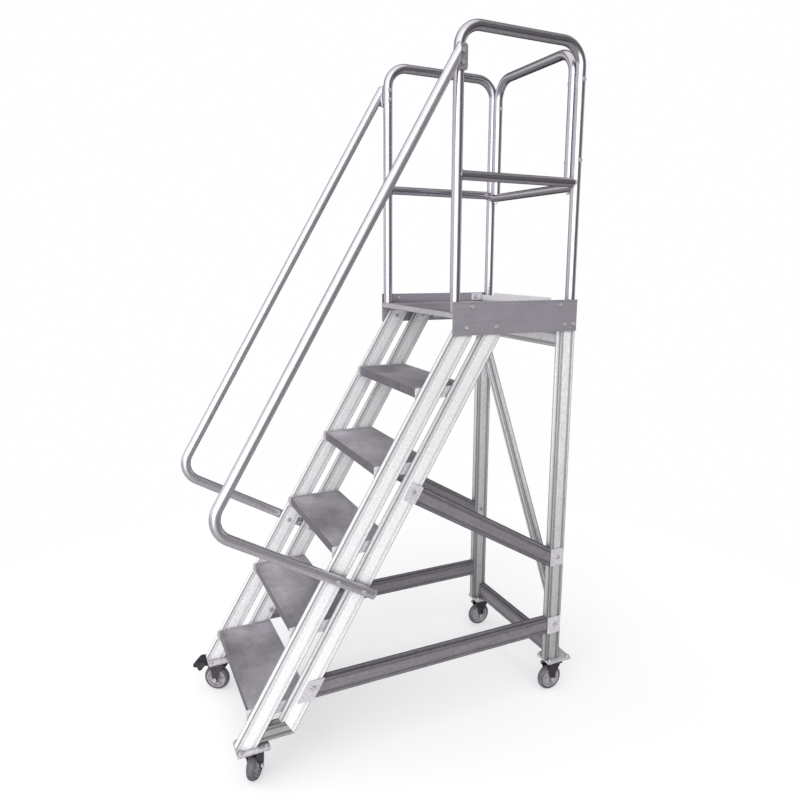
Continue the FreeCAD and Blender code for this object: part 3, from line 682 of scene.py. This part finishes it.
def pressed_tab(mitre, sign, tall, length):
    """Rings that take the mitred tube into a flat upright tab against the guard post."""
    rings = [ring_at(mitre, Y_DIR, X_DIR, length + MITRE_GRAIN, TUBE_R, tall)]
    tab_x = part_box("guard_loop_right")[1].x + GAP + TAB_THICK / 2
    aside = X_DIR * (sign * (tab_x - HAND_X))
    tab_centre = Vector((mitre.x, MITRE_Y, TAB_Z))
    for k in range(1, PRESS_STEPS + 1):
        t = k / PRESS_STEPS
        ease = t * t * (3 - 2 * t)
        forward = PRESS_LENGTH * t
        rings.append(ring_at(mitre.lerp(tab_centre, ease) + aside * ease + Y_DIR * forward, Y_DIR, X_DIR,
                             length + MITRE_GRAIN + forward,
                             TUBE_R + (TAB_THICK / 2 - TUBE_R) * ease, tall + (TAB_HALF - tall) * ease,
                             ROUND_POWER + (BAR_POWER - ROUND_POWER) * ease))
    for forward, high, thick in TAB_END:
        rings.append(ring_at(tab_centre + aside + Y_DIR * forward, Y_DIR, X_DIR, length + forward,
                             TAB_THICK / 2 * thick, TAB_HALF * high, BAR_POWER))
    return rings


# ---------------------------------------------------------------- everything else keeps its CAD shape
def plain_parts():
    """Finished copies of the other nodes, with a direction of grain, and of the section on extrusions."""
    extrusions = {
        "stringer": (ALONG, SQUARE, X_DIR), "brace": (SQUARE, ALONG, X_DIR), "leg": (UP, Y_DIR, X_DIR),
        "base_bar": (Y_DIR, UP, X_DIR), "foot_rail": (Y_DIR, UP, X_DIR),
        "rear_beam": (X_DIR, UP, Y_DIR), "rear_crossbar": (X_DIR, UP, Y_DIR),
    }
    for node in sorted(frame["nodes"]):
        kind = [k for k in extrusions if node.startswith(k)]
        if kind:
            along, wide, deep = extrusions[kind[0]]
            refined(node, along, section=(wide, deep))
        elif node == "rear_diagonal":
            refined(node, DIAGONAL, section=(DIAGONAL.cross(Y_DIR), Y_DIR))
        elif node.startswith(("side_plate", "deck_bearers", "joint_cleats", "foot_plates", "caster_plates",
                              "tread_brackets")):
            refined(node, Y_DIR)
        elif node.startswith(("tread_", "platform", "toe")):
            paint_lip_shade(refined(node, X_DIR, rounding=FINE_ROUNDING))
        elif node.startswith(("frame_bolts", "caster_bolts", "caster_kingpins", "axle")):
            refined(node, UP, rounding=BOLT_ROUNDING)
        elif node.startswith(("fork", "pedal")):
            refined(node, UP, rounding=CASTER_ROUNDING)


# ---------------------------------------------------------------- room, light and camera
def ground():
    """Pale round floor, faintly lit of itself and left out of glossy reflections."""
    bm = bmesh.new()
    bmesh.ops.create_circle(bm, cap_ends=True, radius=FLOOR_RADIUS, segments=96)
    mesh = bpy.data.meshes.new("floor")
    bm.to_mesh(mesh)
    bm.free()
    floor = bpy.data.objects.new("floor", mesh)
    bpy.context.scene.collection.objects.link(floor)
    paint, nodes, _ = node_tree("floor_paint")
    for socket, value in (("Base Color", FLOOR_GREY), ("Roughness", 0.9), ("Emission Color", WHITE),
                          ("Emission Strength", FLOOR_GLOW)):
        nodes["Principled BSDF"].inputs[socket].default_value = value
    mesh.materials.append(paint)
    floor.visible_glossy = False


def surroundings():
    """World that is white to the camera, and darker to everything else in a few directions."""
    world = bpy.data.worlds.new("studio")
    bpy.context.scene.world = world
    world.use_nodes = True
    nodes, links = world.node_tree.nodes, world.node_tree.links
    direction = nodes.new("ShaderNodeTexCoord")
    levels = []
    for axis, (start, end), (away, towards) in DARK_ZONES:
        facing = add(nodes, "VectorMath", operation="DOT_PRODUCT")
        facing.inputs[1].default_value = Vector(axis).normalized()
        links.new(direction.outputs["Generated"], facing.inputs[0])
        zone = add(nodes, "MapRange", interpolation_type="SMOOTHSTEP")
        for key, value in (("From Min", start), ("From Max", end), ("To Min", away), ("To Max", towards)):
            zone.inputs[key].default_value = value
        links.new(facing.outputs["Value"], zone.inputs["Value"])
        levels.append(zone.outputs["Result"])
    strength = levels[0]
    for level in levels[1:]:
        both = add(nodes, "Math", operation="MULTIPLY")
        links.new(strength, both.inputs[0])
        links.new(level, both.inputs[1])
        strength = both.outputs[0]
    rays = nodes.new("ShaderNodeLightPath")
    seen = add(nodes, "Mix", data_type="FLOAT")
    seen.inputs[3].default_value = 1.0
    links.new(rays.outputs["Is Camera Ray"], seen.inputs[0])
    links.new(strength, seen.inputs[2])
    links.new(seen.outputs[0], nodes["Background"].inputs["Strength"])
    nodes["Background"].inputs["Color"].default_value = WHITE


def suns():
    """Soft suns: a key from above, and a fill and a level strip of light, all from the front right."""
    for name, way, energy, spread in SUNS:
        data = bpy.data.lights.new(name, "SUN")
        data.angle = math.radians(spread)
        data.energy = energy
        lamp = bpy.data.objects.new(name, data)
        lamp.rotation_euler = Vector(way).to_track_quat("-Z", "Y").to_euler()
        bpy.context.scene.collection.objects.link(lamp)


def camera():
    """Camera at the front right of the ladder, at eye height, rolled by a trace."""
    data = bpy.data.cameras.new("camera")
    data.sensor_width = 36.0
    data.lens = LENS
    data.shift_x = SHIFT_X
    data.shift_y = SHIFT_Y
    lens = bpy.data.objects.new("camera", data)
    forward = Vector(CAMERA_WAY).normalized()
    level = forward.cross(UP).normalized()
    right = level * math.cos(CAMERA_ROLL) + level.cross(forward) * math.sin(CAMERA_ROLL)
    up = right.cross(forward)
    turn = Matrix((right, up, -forward)).transposed()
    lens.matrix_world = Matrix.Translation(CAMERA_AT) @ turn.to_4x4()
    bpy.context.scene.collection.objects.link(lens)
    bpy.context.scene.camera = lens


camera()
ground()
surroundings()
suns()
bpy.context.scene.view_settings.view_transform = "Standard"
guard_loops()
rear_hoop()
mid_rails()
for caster in ("front_right", "front_left", "rear_right", "rear_left"):
    tyre(caster)
    hub(caster)
handrail("right", 1)
handrail("left", -1)
plain_parts()
